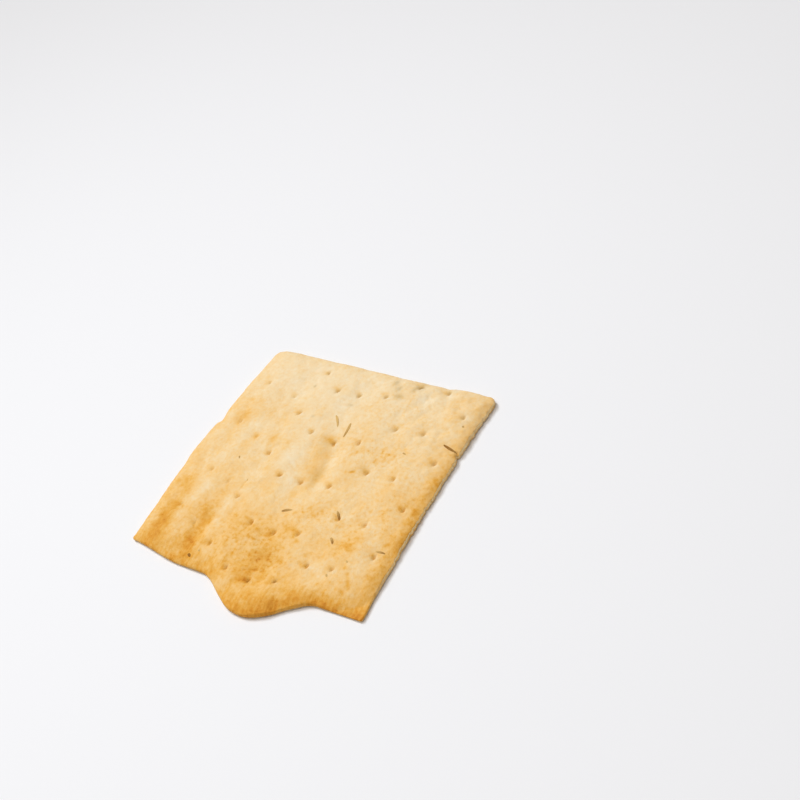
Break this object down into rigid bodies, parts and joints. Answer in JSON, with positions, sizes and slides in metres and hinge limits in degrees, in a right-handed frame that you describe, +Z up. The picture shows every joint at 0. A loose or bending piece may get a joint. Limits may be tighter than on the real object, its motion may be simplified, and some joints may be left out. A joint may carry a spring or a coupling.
{
  "type": "pizza base piece",
  "caption": "Hand-sized piece of thin, crisp, docked pizza base with a lobed near edge, soft waves, pin holes and baked-in herb needles, lying flat with its baked top up.",
  "frame": {"origin": "under the middle of the piece's box, on the surface it lies on", "axes": "+X along the near side with the lobe, +Y from that side towards the far cut side, +Z up through the baked top"},
  "size_m": [0.123, 0.1308, 0.0053],
  "materials": {
    "baked_dough": "matte",
    "dried_herb": "matte"
  },
  "bodies": {
    "root": {"pizza_base": "baked_dough"}
  },
  "joints": []
}
